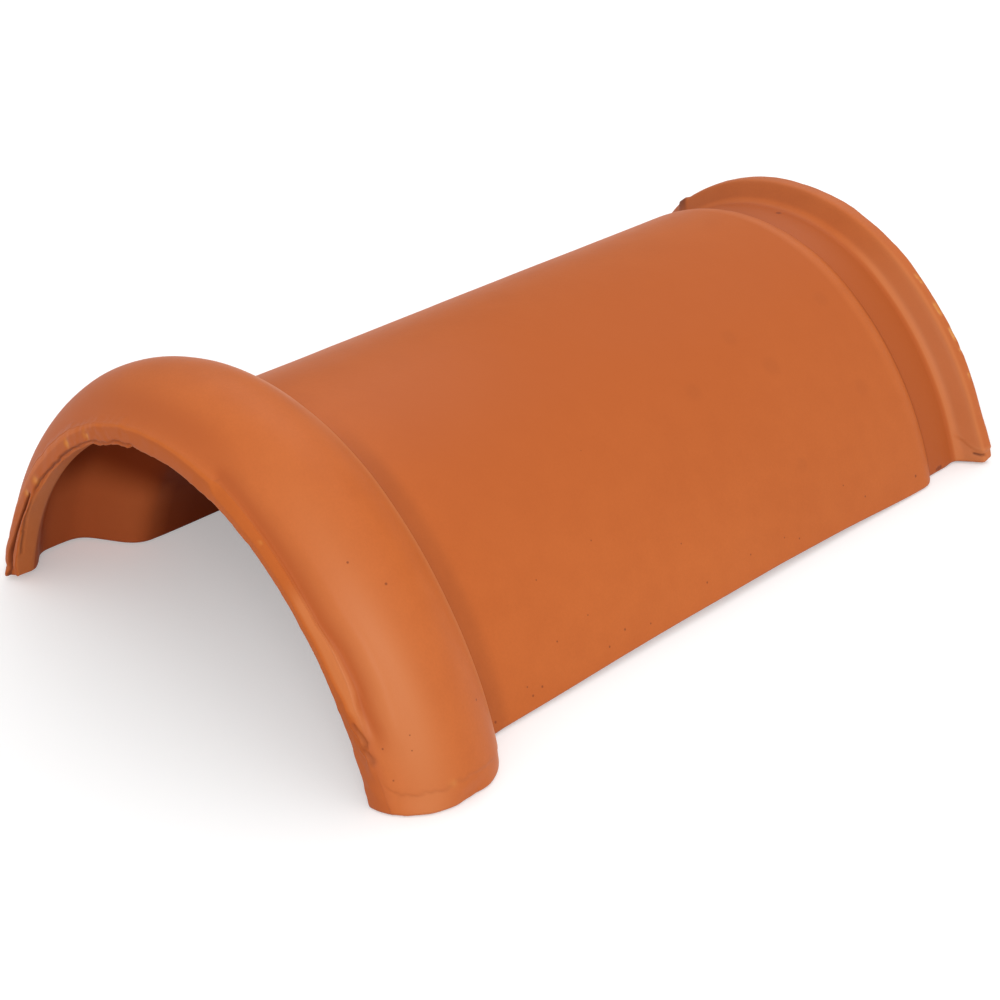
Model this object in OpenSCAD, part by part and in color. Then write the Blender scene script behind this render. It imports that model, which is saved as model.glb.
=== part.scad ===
// Clay ridge tile: an arched shell with a rolled collar at the front and a necked flange at the back.
// The collar of one tile hooks over the flange of the next, and its lip lies in that tile's neck.
// X runs across the tile, Y along it from the collar to the flange, and Z up from the bearing plane.
// The middle of the tile's footprint is the origin.

/* [Arch] */
// Height of the body's crown above the bearing plane
body_height = 111; // [100:1:125]
// Radius of the body's outer face over the crown
crown_radius = 109; // [100:1:120]
// Radius of the body's outer face over the flatter flanks
flank_radius = 160; // [140:1:200]
// Thickness of the body's wall
wall = 15; // [12:0.5:17]

/* [Length] */
// Covering length, from the front of the lip to the foot of the step
cover_length = 380; // [300:1:450]
// Length of the neck, from the foot of the step to the foot of the flange
neck_length = 23; // [14:1:30]
// Length of the land on top of the flange
flange_land = 6; // [4:0.5:16]

/* [Collar] */
// Height of the roll above the body
roll_rise = 25; // [22:0.5:28]
// Radius of the roll's outer arc
roll_radius = 33.5; // [31:0.5:36]
// Distance of the roll's middle from the front of the lip
roll_middle = 32.5; // [30:0.5:36]
// Height of the lip's outer face above the body
lip_rise = 8; // [7:0.5:11]
// Thickness of the lip
lip_wall = 9.5; // [8:0.5:12]
// Height of the bevel on the lip's front edge
lip_bevel = 4.5; // [2:0.5:6]
// Depth of the lip's bevel along the tile's length
lip_bevel_depth = 2.5; // [1:0.5:3.5]
// Radius of the hollow between the lip and the roll
lip_fillet = 4.5; // [4:0.5:9]
// Radius of the crease between the roll and the body
crease_fillet = 3; // [2:0.5:6]
// Wall left between the collar's cavity and the top of the roll
roll_wall = 13.5; // [11:0.5:16]
// Distance of the cavity's front edge from the front of the lip
cavity_start = 13; // [11:0.5:16]
// Slope of the cavity's front face, in degrees from the tile's length
cavity_front_slope = 55; // [45:1:65]
// Distance of the cavity's back edge from the front of the lip
cavity_end = 60.5; // [58:0.5:66]
// Slope of the cavity's back face, in degrees from the tile's length
cavity_back_slope = 60; // [50:1:70]
// Radius of the rounded corners inside the cavity
cavity_corner = 6; // [3:0.5:7]
// Radius of the rounded edge where the cavity meets the lip
cavity_front_edge = 5; // [3:0.5:7]
// Radius of the rounded edge where the cavity meets the bore
cavity_back_edge = 12; // [6:0.5:14]

/* [Flange] */
// Depth of the neck below the body
neck_drop = 5.5; // [4:0.5:7]
// Radius of the rounded end of the body above the neck
step_radius = 14; // [10:0.5:18]
// Height of the flange above the neck
flange_rise = 10.5; // [8:0.5:13]
// Slope of the flange's front face, in degrees from the tile's length
flange_slope = 54; // [40:1:65]
// Radius of the hollow between the neck and the flange
flange_fillet = 6; // [3:0.5:8]
// Radius of the flange's front edge
flange_round = 4; // [2:0.5:5]

/* [Hidden] */
$fn = 96;

// Depth by which a rounding circle crosses the two faces it joins, so that they meet in clear edges
cross = 0.05;

// Radii of the outer face over the crown
lip_r = crown_radius + lip_rise;
roll_r = crown_radius + roll_rise;
roll_centre_r = roll_r - roll_radius;
neck_r = crown_radius - neck_drop;
flange_r = neck_r + flange_rise;

// Radii of the inner face over the crown
bore_r = crown_radius - wall;
lip_bore_r = lip_r - lip_wall;
cavity_r = roll_r - roll_wall;

// Places along the length, from the front of the lip
cavity_top_start = cavity_start + (cavity_r - lip_bore_r) / tan(cavity_front_slope);
cavity_top_end = cavity_end - (cavity_r - bore_r) / tan(cavity_back_slope);
step_run = sqrt(step_radius ^ 2 - (step_radius - neck_drop) ^ 2);
step_start = cover_length - step_run;
flange_foot = cover_length + neck_length;
flange_corner = flange_foot + flange_rise / tan(flange_slope);
tile_length = flange_corner + flange_round * tan(flange_slope / 2) + flange_land;

// The crown arc passes into the flank arcs where its normal leans three across to four up
lean_across = 0.6;
lean_up = 0.8;
crown_angle = atan2(lean_across, lean_up);
axis_height = body_height - crown_radius;
flank_offset = flank_radius - crown_radius;
flank_centre_x = -flank_offset * lean_across;
flank_centre_z = axis_height - flank_offset * lean_up;
// Small turn by which the crown reaches into the flanks, so that they fuse into one body
seam = 0.001;
// Turn that carries a flank past the bearing plane
flank_sweep = 75;

// Width and depth of the block that cuts the feet off flat
cut_size = 2 * (flank_radius + roll_rise);

// Turns that a face takes in the half section, in degrees from the tile's length
to_back = 0;
to_front = 180;
full_turn = 360;

// Reach of a corner piece past the two faces, in rounding radii
reach = 1.5;

// Direction of a face in the half section, as [radius, length]
function heading(angle) = [sin(angle), cos(angle)];

// The piece between a corner and the arc that rounds it. Its faces leave the corner at angles a < b
module corner_piece(corner, a, b, radius) {
    half = (b - a) / 2;
    inward = heading(a + half) * radius / sin(half);
    along = radius / tan(half);
    centre = corner + inward;
    difference() {
        polygon([
            centre,
            centre + reach * (heading(a) * along - inward),
            centre - reach * inward,
            centre + reach * (heading(b) * along - inward)
        ]);
        translate(centre) circle(radius + cross);
    }
}

// Fills the hollow between the roll's arc and a straight face, on the front (-1) or the back (1) side
module roll_hollow(face_r, fillet, side) {
    rise = face_r + fillet - roll_centre_r;
    run = sqrt((roll_radius + fillet) ^ 2 - rise ^ 2);
    roll_centre = [roll_centre_r, roll_middle];
    centre = [face_r + fillet, roll_middle + side * run];
    base = [roll_centre_r, centre[1]];
    difference() {
        polygon(side > 0 ? [centre, base, roll_centre] : [centre, roll_centre, base]);
        translate(centre) circle(fillet + cross);
    }
}

// Lip and roll, with the hollows on both sides of the roll and the bevel on the lip's front edge
module collar_section() {
    difference() {
        union() {
            square([lip_r, roll_middle]);
            translate([roll_centre_r, roll_middle]) circle(roll_radius);
            roll_hollow(lip_r, lip_fillet, -1);
            roll_hollow(crown_radius, crease_fillet, 1);
        }
        polygon([
            [lip_r - 2 * lip_bevel, -lip_bevel_depth],
            [lip_r + lip_bevel, -lip_bevel_depth],
            [lip_r + lip_bevel, 2 * lip_bevel_depth]
        ]);
    }
}

// Body with its rounded end above the neck
module body_section() {
    translate([0, roll_middle]) square([crown_radius, step_start - roll_middle]);
    intersection() {
        translate([crown_radius - step_radius + cross, step_start]) circle(step_radius);
        square([crown_radius, cover_length + step_radius]);
    }
}

// Neck and flange, with a sloped front face, a hollow at its foot and a rounded front edge
module flange_section() {
    translate([0, roll_middle]) square([neck_r, tile_length - roll_middle]);
    corner_piece([neck_r, flange_foot], flange_slope, to_front, flange_fillet);
    difference() {
        polygon([
            [bore_r, flange_foot],
            [neck_r, flange_foot],
            [flange_r, flange_corner],
            [flange_r, tile_length],
            [bore_r, tile_length]
        ]);
        corner_piece([flange_r, flange_corner], flange_slope + to_front, full_turn, flange_round);
    }
}

// Space inside the shell: the bore, the collar's cavity and the mouth of the lip
module inside_section() {
    translate([0, -wall]) square([lip_bore_r, cavity_start + 2 * wall]);
    translate([0, cavity_start]) square([bore_r, tile_length]);
    corner_piece([lip_bore_r, cavity_start], cavity_front_slope, to_front, cavity_front_edge);
    corner_piece([bore_r, cavity_end], to_back, to_front - cavity_back_slope, cavity_back_edge);
    difference() {
        polygon([
            [bore_r - wall, cavity_start],
            [lip_bore_r, cavity_start],
            [cavity_r, cavity_top_start],
            [cavity_r, cavity_top_end],
            [bore_r, cavity_end],
            [bore_r - wall, cavity_end]
        ]);
        corner_piece([cavity_r, cavity_top_start], cavity_front_slope + to_front, full_turn, cavity_corner);
        corner_piece([cavity_r, cavity_top_end], to_front, full_turn - cavity_back_slope, cavity_corner);
    }
}

// Half section of the shell: x is the radius over the crown, y the length
module shell_section() {
    difference() {
        intersection() {
            union() {
                collar_section();
                body_section();
                flange_section();
            }
            square([roll_r + wall, tile_length]);
        }
        inside_section();
    }
}

// The half section turned about the centre of one arc of the arch, from start_angle off the vertical
module arc_sweep(start_angle, sweep, radius_offset) {
    rotate([-90, 0, 0]) rotate_extrude(angle = sweep, start = start_angle - 90)
        translate([radius_offset, 0]) shell_section();
}

// One flank of the arch, on the +X side
module flank() {
    translate([flank_centre_x, 0, flank_centre_z]) arc_sweep(crown_angle, flank_sweep, flank_offset);
}

// The whole tile, fired as one piece and cut off flat at the bearing plane
module ridge_tile() {
    color("peru") translate([0, -tile_length / 2, 0]) difference() {
        union() {
            translate([0, 0, axis_height]) arc_sweep(-crown_angle - seam, 2 * (crown_angle + seam), 0);
            flank();
            mirror([1, 0, 0]) flank();
        }
        translate([-cut_size / 2, -wall, -cut_size]) cube([cut_size, tile_length + 2 * wall, cut_size]);
    }
}

ridge_tile();
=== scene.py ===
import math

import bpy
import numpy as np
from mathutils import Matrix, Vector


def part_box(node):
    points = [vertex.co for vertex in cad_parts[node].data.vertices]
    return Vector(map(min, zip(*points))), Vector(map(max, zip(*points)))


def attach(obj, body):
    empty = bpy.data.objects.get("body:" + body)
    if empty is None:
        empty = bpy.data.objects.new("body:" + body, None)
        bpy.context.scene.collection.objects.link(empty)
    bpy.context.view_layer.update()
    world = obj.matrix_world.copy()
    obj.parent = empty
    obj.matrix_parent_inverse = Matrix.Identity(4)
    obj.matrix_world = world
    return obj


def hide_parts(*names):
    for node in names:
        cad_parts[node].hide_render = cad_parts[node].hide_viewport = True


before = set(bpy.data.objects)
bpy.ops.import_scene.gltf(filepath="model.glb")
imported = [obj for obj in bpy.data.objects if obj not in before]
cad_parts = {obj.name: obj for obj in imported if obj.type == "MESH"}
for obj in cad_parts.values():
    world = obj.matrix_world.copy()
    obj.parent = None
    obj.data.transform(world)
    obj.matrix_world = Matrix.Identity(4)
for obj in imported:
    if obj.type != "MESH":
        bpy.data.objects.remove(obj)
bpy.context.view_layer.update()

# Clay ridge tile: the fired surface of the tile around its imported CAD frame.
# Lengths are in millimetres until the mesh is made, and the mesh is in metres.
# The shell is one half section swept over a three-centred arch. A place on it is told by
# t (-1 at the left foot, 0 at the crown, 1 at the right foot), y (from the front of the lip) and
# r (the radius that the section's point has over the crown).

MM = 0.001
low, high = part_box("ridge_tile")
FRONT = low.y / MM
LENGTH = (high.y - low.y) / MM

# Arch
CROWN_R = 109.0
FLANK_R = 160.0
AXIS_Z = 2.0
WALL = 15.0
LEAN_ACROSS, LEAN_UP = 0.6, 0.8
CROWN_ANGLE = math.atan2(LEAN_ACROSS, LEAN_UP)
FLANK_OFFSET = FLANK_R - CROWN_R
FLANK_X = -FLANK_OFFSET * LEAN_ACROSS
FLANK_Z = AXIS_Z - FLANK_OFFSET * LEAN_UP
# Length of the arch from the crown to a foot, by which t becomes a length
ARCH_HALF = 175.0

# Collar
LIP_R = CROWN_R + 8.0
LIP_BORE_R = LIP_R - 9.5
ROLL_RADIUS = 33.5
ROLL_R = CROWN_R + 25.0
ROLL_Y = 32.5
LIP_FILLET = 4.5
CREASE_FILLET = 3.0
CAVITY_R = ROLL_R - 13.5
CAVITY_START = 13.0
CAVITY_FRONT_SLOPE = 55.0
CAVITY_END = 60.5
CAVITY_BACK_SLOPE = 60.0
CAVITY_CORNER = 6.0
CAVITY_FRONT_EDGE = 5.0
CAVITY_BACK_EDGE = 12.0

# Neck and flange
BORE_R = CROWN_R - WALL
NECK_R = CROWN_R - 5.5
FLANGE_R = NECK_R + 10.5
STEP_RADIUS = 14.0
COVER = 380.0
FLANGE_FOOT = COVER + 23.0
FLANGE_SLOPE = 54.0
FLANGE_FILLET = 6.0
FLANGE_ROUND = 4.0

# Mesh: distance of the section's samples, and lengths over which edges, normals and spacing are softened
DENSE = 0.1
EDGE_SOFT = 0.7
CAVITY_SOFT = 4.0
NORMAL_SOFT = 2.0
SPACING_SOFT = 1.5
# Share of the cavity's softness that the lip's bore takes
LIP_BORE_SHARE = 0.3
# Reach of a smoothing, in its own widths
KERNEL_REACH = 4
# Stretch of the body behind the crease that has close rows
BODY_CLOSE = 18.0
# Rounded edge of the feet
FOOT_ROUND = 1.6
FOOT_STEPS = 3
# Columns along the arch, closer together near the feet
COLUMNS = 330
FINE_PLACES = 4001
FOOT_DENSE = 2.2
FOOT_DENSE_REACH = 0.06
# Length by which one side of a foot's cap is ahead of the other
CAP_LEAD = 3.0
# Cells along a side of the square of random draws, which repeats
NOISE_SIZE = 64

# Below, a wave is (height, cell, seed) of a random unevenness, a climb is (height, start, end), a pair
# of places is (start, end) of a smooth step, and three places are (start, end, softness) of a stretch

CLAY_WAVES = [(0.25, 48.0, 1), (0.07, 15.0, 2)]

# Height of the feet above the floor as (y, height): the tile warped a little in the kiln
LIFT_RIGHT = [
    (0, 0.0), (60, 0.0), (75, 0.8), (110, 1.4), (150, 2.4), (200, 3.0), (257, 3.0),
    (300, 2.2), (335, 1.0), (360, 0.2), (395, 0.0), (401, 0.6), (406, 0.8), (413, 0.6), (419, 2.0),
]
LIFT_LEFT = [
    (-1.5, 0.5), (0, 1.4), (1.2, 2.6), (8, 2.2), (14, 1.6), (30, 1.0), (60, 0.6), (80, 0.0), (419, 0.0),
]
# Place on either side of the arch from which the lift grows towards the foot
LIFT_START = 0.6

# Lip: radius at which the front face turns back into its bevel, as (t, r)
BEVEL = [
    (-1.0, 115.6), (-0.8, 115.2), (-0.7, 114.0), (-0.58, 113.8), (-0.47, 114.0), (-0.28, 115.3),
    (0.0, 115.4), (0.235, 115.0), (0.262, 112.0), (0.66, 111.6), (0.75, 111.8), (0.79, 113.4),
    (0.83, 114.4), (0.9, 115.5), (0.95, 113.5), (1.0, 111.8),
]
BEVEL_SLOPE = 0.56
# Softness of the bevel's front edge and of its back edge
BEVEL_ROUND = 1.2
LIP_CORNER = 0.8
# The bevel's front edge is crisp on the right leg
CRISP_START = (0.235, 0.262)
CRISP_END = (0.78, 0.9)
CRISP_LESS_ROUND = 0.9

# Groove behind the bevel on the right leg, with a bank behind it: its bottom as (t, y) and its depth
# as (t, depth)
GROOVE = [(0.3, 4.75), (0.41, 4.55), (0.5, 4.6), (0.64, 4.5), (0.7, 5.9), (0.77, 6.2), (0.81, 5.4)]
GROOVE_DEPTH = [(0.25, 1.0), (0.4, 2.2), (0.6, 2.9), (0.8, 2.9), (0.86, 0.0)]
GROOVE_STRETCH = (0.262, 0.84, 0.06)
GROOVE_WIDTH = 2.0
BANK_HEIGHT = 1.1
BANK_BEHIND = 4.4
BANK_WIDTH = 2.2
# Painted shade in the groove: how far behind its bottom it lies, and its widths
GROOVE_TONE_BEHIND = 0.2
GROOVE_TONE_WIDTH = 1.6
GROOVE_SHADE = 0.05
GROOVE_SHADE_WIDTH = 1.3

# Clay that fills the hollow between the lip and the roll near the right foot, up to a slope through
# FILL_R at FILL_Y, and where it reaches on the face, behind the front and along the arch
FILL_R = 114.4
FILL_Y = 1.2
FILL_SLOPE = 1.45
FILL_SOFT = 0.5
FILL_FACE_R = 114.5
FILL_END = (5.5, 9.0)
FILL_PLACES = (0.87, 0.95)

# Painted shade on the front face below the bevel: softness of its edge, and where it is lighter
FRONT_SHADE_SOFT = 0.5
FRONT_SHADE_SOFTER = (2.0, 0.88, 0.95)
FRONT_SHADE_BORE = (0.5, 0.6)
LESS_FRONT_SHADE = 0.45
LESS_FRONT_SHADE_STRETCH = (0.3, 0.7, 0.1)

# Unevenness of the front face, and its depth behind the front
FACE_WAVES = [(0.25, 11.0, 3), (0.1, 3.5, 4)]
FACE_DEPTH = 1.8

# Torn inner edge of the front face on the left: the face falls back below it, and a groove lies there
TORN_STRETCH = (-0.68, -0.13, 0.05)
TORN_WAVES = [(0.14, 2.4, 5)]
TORN_R = 109.4
TORN_R_WAVES = [(0.5, 5.0, 6), (0.25, 2.2, 7)]
TORN_SLOPE = 0.65
TORN_FALL = 3.0
TORN_GROOVE = 1.0
TORN_GROOVE_BELOW = 0.55
TORN_GROOVE_WIDTH = 0.42
# Painted shadow in the groove below the torn edge, lighter towards the crown
TORN_SHADE = 0.9
TORN_LESS_SHADE = (0.5, -0.48, -0.38)

# Outer edge of the front face on the left, and the inner edge all along
OUTER_EDGE_WAVES = [(0.35, 5.5, 20), (0.1, 2.4, 21)]
OUTER_EDGE_R = (112.0, 115.5)
OUTER_EDGE_END = (-0.2, 0.1)
INNER_EDGE_R = 110.0
INNER_EDGE_SOFT = 2.0
INNER_EDGE_DEPTH = 2.2
INNER_EDGE_WAVES = [(0.15, 9.0, 8), (0.22, 3.6, 9), (0.12, 1.6, 19)]
INNER_EDGE_LEFT_WAVES = [(0.3, 9.0, 8)]
INNER_EDGE_LEFT_END = (-0.1, 0.1)

# Flash that hangs from the inner edge on the left of the crown
FLASH_STRETCH = (-0.32, -0.135, 0.012)
FLASH_DEPTH = 0.9
FLASH_WAVES = [(0.3, 4.0, 10), (0.3, 1.9, 18)]
FLASH_FORWARD = 0.9

# Chips on the front face as (t, r, radius)
LIP_CHIPS = [(-0.345, 112.2, 2.0), (-0.47, 112.0, 1.8), (-0.666, 110.8, 1.9), (-0.728, 112.2, 1.6)]
LIP_CHIP_DEPTH = 0.5
LIP_CHIP_FRESH = 0.7
LIP_CHIP_GRAIN = (1.0, 1.8, 17)
LIP_CHIP_SHOWN = (-1.1, 0.3)

# Drying crack down the left leg as (t, r). The places of its climbs are counted to the left
CRACK = [
    (-0.721, 110.3), (-0.774, 110.0), (-0.825, 110.4), (-0.864, 110.8), (-0.905, 111.3), (-0.937, 111.6),
    (-0.968, 111.3), (-1.0, 111.2),
]
CRACK_DEPTH = 2.8
CRACK_SHALLOWER = (2.0, 0.965, 0.995)
CRACK_WIDTH = 0.45
CRACK_WIDER = [(0.2, 0.78, 0.95), (0.15, 0.96, 0.985)]
# Painted shade in the crack: its strength, how far up it is moved, and how much wider it is than the crack
CRACK_SHADE = 1.1
CRACK_SHADE_UP = 0.3
CRACK_SHADE_WIDER = 0.1
# The clay below the crack is set back at the foot and stands forward above it
SET_BACK = (1.0, 0.965, 1.0)
SET_BACK_R = 110.8
FLAP_STRETCH = (-0.96, -0.74, 0.03)
FLAP_FORWARD = 0.5
FLAP_R = 109.2
CRACK_SIDE_SOFT = 1.0
# Lines on the lip's inner face beside the crack, as (t, y)
LEDGES = [
    [(-0.70, 0.3), (-0.784, 0.7), (-0.845, 1.7)],
    [(-0.853, 1.2), (-0.856, 1.9), (-0.895, 2.1), (-0.932, 2.5)],
]
LEDGE_DEPTH = 0.9
LEDGE_WIDTH = 0.5
# Painted shadow along the ledges
LEDGE_SHADE = 0.7
LEDGE_SHADE_WIDTH = 0.55
# Lump at the crack's foot and the notch below it, as (height, t, width), and the knob on its front
LUMPS = [(1.6, -0.955, 8.0), (-1.0, -0.987, 1.4)]
LUMP_R = (110.0, 113.0)
LUMP_DEPTH = 7.0
KNOB = (1.4, 0.984, 0.996)
KNOB_R = 113.4
KNOB_WIDTH = 1.8

# Nick in the lip's edge and a light chip on its face, on the right leg
TEAR_DEPTH = 4.0
NICK_T, NICK_R = 0.25, 117.5
NICK_NARROW = 1.6
NICK_DEPTH = 0.9
NICK_WIDTH = 1.3
# Painted shade in the nick
NICK_SHADE = 0.5
NICK_SHADE_WIDTH = 0.9
LIGHT_T, LIGHT_R = 0.455, 114.2
LIGHT_DEPTH = 0.5
LIGHT_WIDTH = 0.9
LIGHT_FRESH = 0.5
LIGHT_FRESH_WIDTH = 0.8

# Torn flakes on the lip near the right foot, as (t, r): a gap with a raised flake inside it
TEARS = [
    [(0.832, 114.2), (0.850, 115.6), (0.864, 116.8), (0.873, 116.2)],
    [(0.876, 115.0), (0.888, 116.4), (0.900, 117.2), (0.906, 116.6)],
]
TEAR_GAP = 0.9
TEAR_GAP_WIDTH = 0.6
FLAKE_INSIDE = 1.0
FLAKE_HEIGHT = 0.8
FLAKE_WIDTH = 0.8
# Painted shade in the gaps, and a painted highlight on the raised flakes
TEAR_SHADE = 0.45
TEAR_SHADE_WIDTH = 0.7
FLAKE_HIGHLIGHT = 0.8
FLAKE_HIGHLIGHT_WIDTH = 0.7
TEAR_STRETCH = (0.78, 0.98, 0.04)
TEAR_WAVES = [(0.3, 3.2, 11)]

# Foot of the roll, trimmed with a blade: the line that it leaves as (y, t), and what it takes off at
# the bearing face as (y, depth)
ROLL_TRIM = [
    (0, 0.93), (2, 0.94), (4, 0.956), (7, 0.968), (16.1, 0.967), (17, 0.961), (18.4, 0.964), (25, 0.962),
    (34, 0.962), (46, 0.966), (56, 0.975), (70, 0.98),
]
ROLL_TRIM_WAVES = [(0.004, 4.0, 12), (0.002, 1.6, 13)]
ROLL_TRIM_EDGE = (-0.001, 0.003)
ROLL_TRIM_DEPTH = 0.4
ROLL_TRIM_START = (1.0, 5.0)
# Painted shadow along the trim line, and painted light on the band below it
ROLL_TRIM_SHADE = 0.12
ROLL_TRIM_SHADE_WIDTH = 0.6
ROLL_TRIM_SHADE_STRETCH = (6.0, 48.0, 4.0)
ROLL_TRIM_LIGHT = 0.4
ROLL_TRIM_LIGHT_Y = 14.0
ROLL_TRIM_LIGHT_WIDTH = 8.0
FOOT_TRIM = [
    (0, -0.4), (10, -0.6), (14, -0.4), (20, 0.6), (26, 1.2), (30, 2.2), (37, 2.2), (44, 0.5), (60, 0.2),
]
FOOT_TRIM_START = (1.0, 7.0)
FOOT_TRIM_END = 1.004
FOOT_TRIM_CURVE = 1.5
# The lip spreads at the right foot
SPREAD = (0.8, 0.93, 1.0)
SPREAD_R = (109.0, 112.0)
SPREAD_END = (2.0, 12.0)
# A bead along the crease, and a swelling of the roll's back on the right leg
BEAD_HEIGHT = 0.7
BEAD_Y = 63.0
BEAD_WIDTH = 4.5
SWELL = (0.6, 0.7, 0.9)
SWELL_Y = 55.0
SWELL_WIDTH = 8.0
# Fresh spot on the trim line
TRIM_SPOT_T, TRIM_SPOT_Y = 0.961, 24.5
TRIM_SPOT_RADIUS = 1.1
TRIM_SPOT_FRESH = 0.45

# Rim of the flange: chips as (t, y, radius), a broken strip as (t, y), and its unevenness
FLANGE_MARK_R = (NECK_R, NECK_R + 3)
RIM_CHIPS = [(0.537, 415.6, 1.0), (0.552, 416.2, 0.9), (0.617, 415.6, 1.2), (0.80, 416.6, 0.9)]
RIM_CHIP_DEPTH = 0.5
RIM_STRIP = [(0.632, 415.8), (0.659, 416.6), (0.685, 417.0), (0.736, 417.2)]
RIM_STRIP_WIDTH = 1.2
RIM_STRIP_DEPTH = 0.7
RIM_STRIP_GRAIN = (1.0, 3.0, 14)
RIM_STRIP_SHOWN = (-0.5, 0.3)
RIM_WAVES = [(0.3, 12.0, 15), (0.15, 4.0, 16)]
RIM_DEPTH = 4.0
# The flange is lower on the left, with a burr where that starts, and spreads at the right foot
FLANGE_LOWER = (1.5, 0.54, 0.60)
FLANGE_SPREAD = (1.8, 0.9, 1.0)
BURR_START, BURR_END = -0.535, -0.512
BURR_SOFT = 1.2
BURR_Y = 410.0
BURR_WIDTH = 3.5
BURR_HEIGHT = 1.3
# Painted shadow at the burr
BURR_SHADE = 0.7
# Edge of the fold at the flange's right foot as (y, t), and the slit in the fold as (t, y)
FLANGE_FOLD = [
    (402, 0.915), (403.8, 0.938), (405.5, 0.947), (407.1, 0.964), (408.8, 0.972), (410.6, 0.975),
    (417, 0.981),
]
FOLD_DEPTH = 0.7
FOLD_BEFORE = 0.001
FOLD_SOFT = 0.006
# Painted highlight on the fold's edge, and painted light on the strip below it
FOLD_EDGE_HIGHLIGHT = 0.9
FOLD_EDGE_WIDTH = 1.0
FOLD_HIGHLIGHT = 0.5
FLANGE_SLIT = [(0.984, 408.2), (0.987, 410.2), (0.988, 412.6)]
SLIT_WIDTH = 0.5
SLIT_DEPTH = 1.2
# Painted shade in the slit
SLIT_SHADE = 0.9

# Line along the roll's back edge where a grazing reflection is painted pale, as (t, y)
ROLL_REFLECTION = [(0.0, 52.2), (0.2, 56.6), (0.4, 58.6), (0.6, 59.4), (0.8, 59.2), (1.0, 58.3)]
ROLL_REFLECTION_BEFORE = 1.0
ROLL_REFLECTION_WIDTH = 3.6

# Masks that the material reads: painted shade in lines and bands, fresh breaks, painted shade inside the
# arch and deeper in, painted shade in hollows, painted highlights, painted shade on the front face, and
# clay without a sheen
MASKS = ("painted_shade", "fresh", "inside", "deep", "hollow", "pale", "front_shade", "matt")

# Tones of whole zones as (mask, strength, zones, windows). A window is (shape, axis, numbers): "from" and
# "until" have start and end, "between" has start, end and softness, and "around" and "outside" have
# middle and width. The axis "side" is t without its sign, and "moved" is y with the bevel's shift
TONES = [
    # Painted shade inside the arch, darker deeper in
    ("inside", 1.0, ("bore", "cavity"), []),
    ("deep", 1.0, ("bore", "cavity"), [("until", "side", 0.72, 0.87), ("from", "y", 16.0, 34.0)]),
    ("deep", 1.0, ("bore", "cavity"), [("from", "y", 57.0, 82.0)]),
    ("matt", 1.0, ("bore", "cavity"), []),
    ("matt", 0.6, ("face", "lip_bore"), [("until", "t", 0.85, 0.93)]),
    ("matt", 0.8, ("lip", "roll"), [("until", "t", -0.6, -0.2)]),
    ("matt", 0.3, ("body", "step", "neck"), []),
    ("matt", 0.5, ("body",), [("around", "t", 0.1, 0.35), ("from", "y", 100.0, 200.0)]),
    ("matt", 0.6, ("roll",), [("from", "y", 28.0, 42.0), ("between", "t", 0.1, 0.6, 0.2)]),
    # Painted shade on the front face and lip near the right foot
    ("front_shade", 0.75, ("face", "lip"), [("from", "t", 0.8, 0.88), ("until", "moved", 1.5, 5.0)]),
    # Painted shade in the hollow between the lip and the roll, on part of the front face, on a band along
    # the body, and along the neck
    ("hollow", 0.8, ("lip", "roll"), [("until", "t", 0.1, 0.35), ("around", "y", 8.0, 6.0)]),
    ("hollow", 0.9, ("lip", "roll"), [("until", "t", -0.5, -0.15), ("outside", "y", 8.0, 6.0)]),
    ("hollow", 0.4, ("face", "lip"), [("between", "t", 0.28, 0.56, 0.05)]),
    ("hollow", 0.85, ("body",), [("around", "t", 0.3, 0.45), ("between", "y", 110.0, 370.0, 60.0)]),
    ("hollow", 1.0, ("neck", "flange", "step"), [("between", "y", COVER - 1.5, FLANGE_FOOT - 2.5, 2.5)]),
    # Painted shade behind the crease, along the step's edge, on the neck and on the flange
    ("painted_shade", 0.25, ("crease", "body"), [("between", "y", 58.0, 73.0, 8.0), ("from", "t", 0.1, 0.4)]),
    ("painted_shade", 0.35, ("step", "neck"), [("around", "y", COVER - 0.3, 1.1), ("from", "t", 0.35, 0.6)]),
    ("painted_shade", 0.1, ("neck",), []),
    ("painted_shade", 0.1, ("flange",), [("until", "t", 0.0, 0.4)]),
    ("painted_shade", 0.2, ("flange",), [("between", "y", 405.5, 410.0, 1.5)]),
    # Painted light on the lip's bore at the left, and painted highlights on the roll, the bevel's crest and
    # the flange's hollow, slope and rim
    ("pale", 0.6, ("lip_bore",), [("until", "t", -0.7, -0.5)]),
    ("pale", 0.95, ("lip", "roll"), [("around", "t", 0.79, 38.0 / ARCH_HALF), ("around", "y", 14.0, 9.0)]),
    ("pale", 0.25, ("lip", "roll"), [("from", "t", 0.1, 0.5), ("around", "y", 18.0, 12.0)]),
    ("pale", 0.9, ("face", "lip"), [("between", "t", 0.6, 0.82, 0.06), ("from", "moved", 0.3, 1.2)]),
    ("pale", 1.5, ("flange",), [("from", "t", 0.2, 0.6), ("around", "y", 403.6, 1.4)]),
    ("pale", 0.8, ("flange",), [("from", "t", 0.2, 0.6), ("around", "y", 411.5, 1.2)]),
    ("pale", 0.5, ("flange",), [("from", "t", 0.2, 0.6), ("between", "y", 405.0, 410.0, 1.5)]),
]

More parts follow.
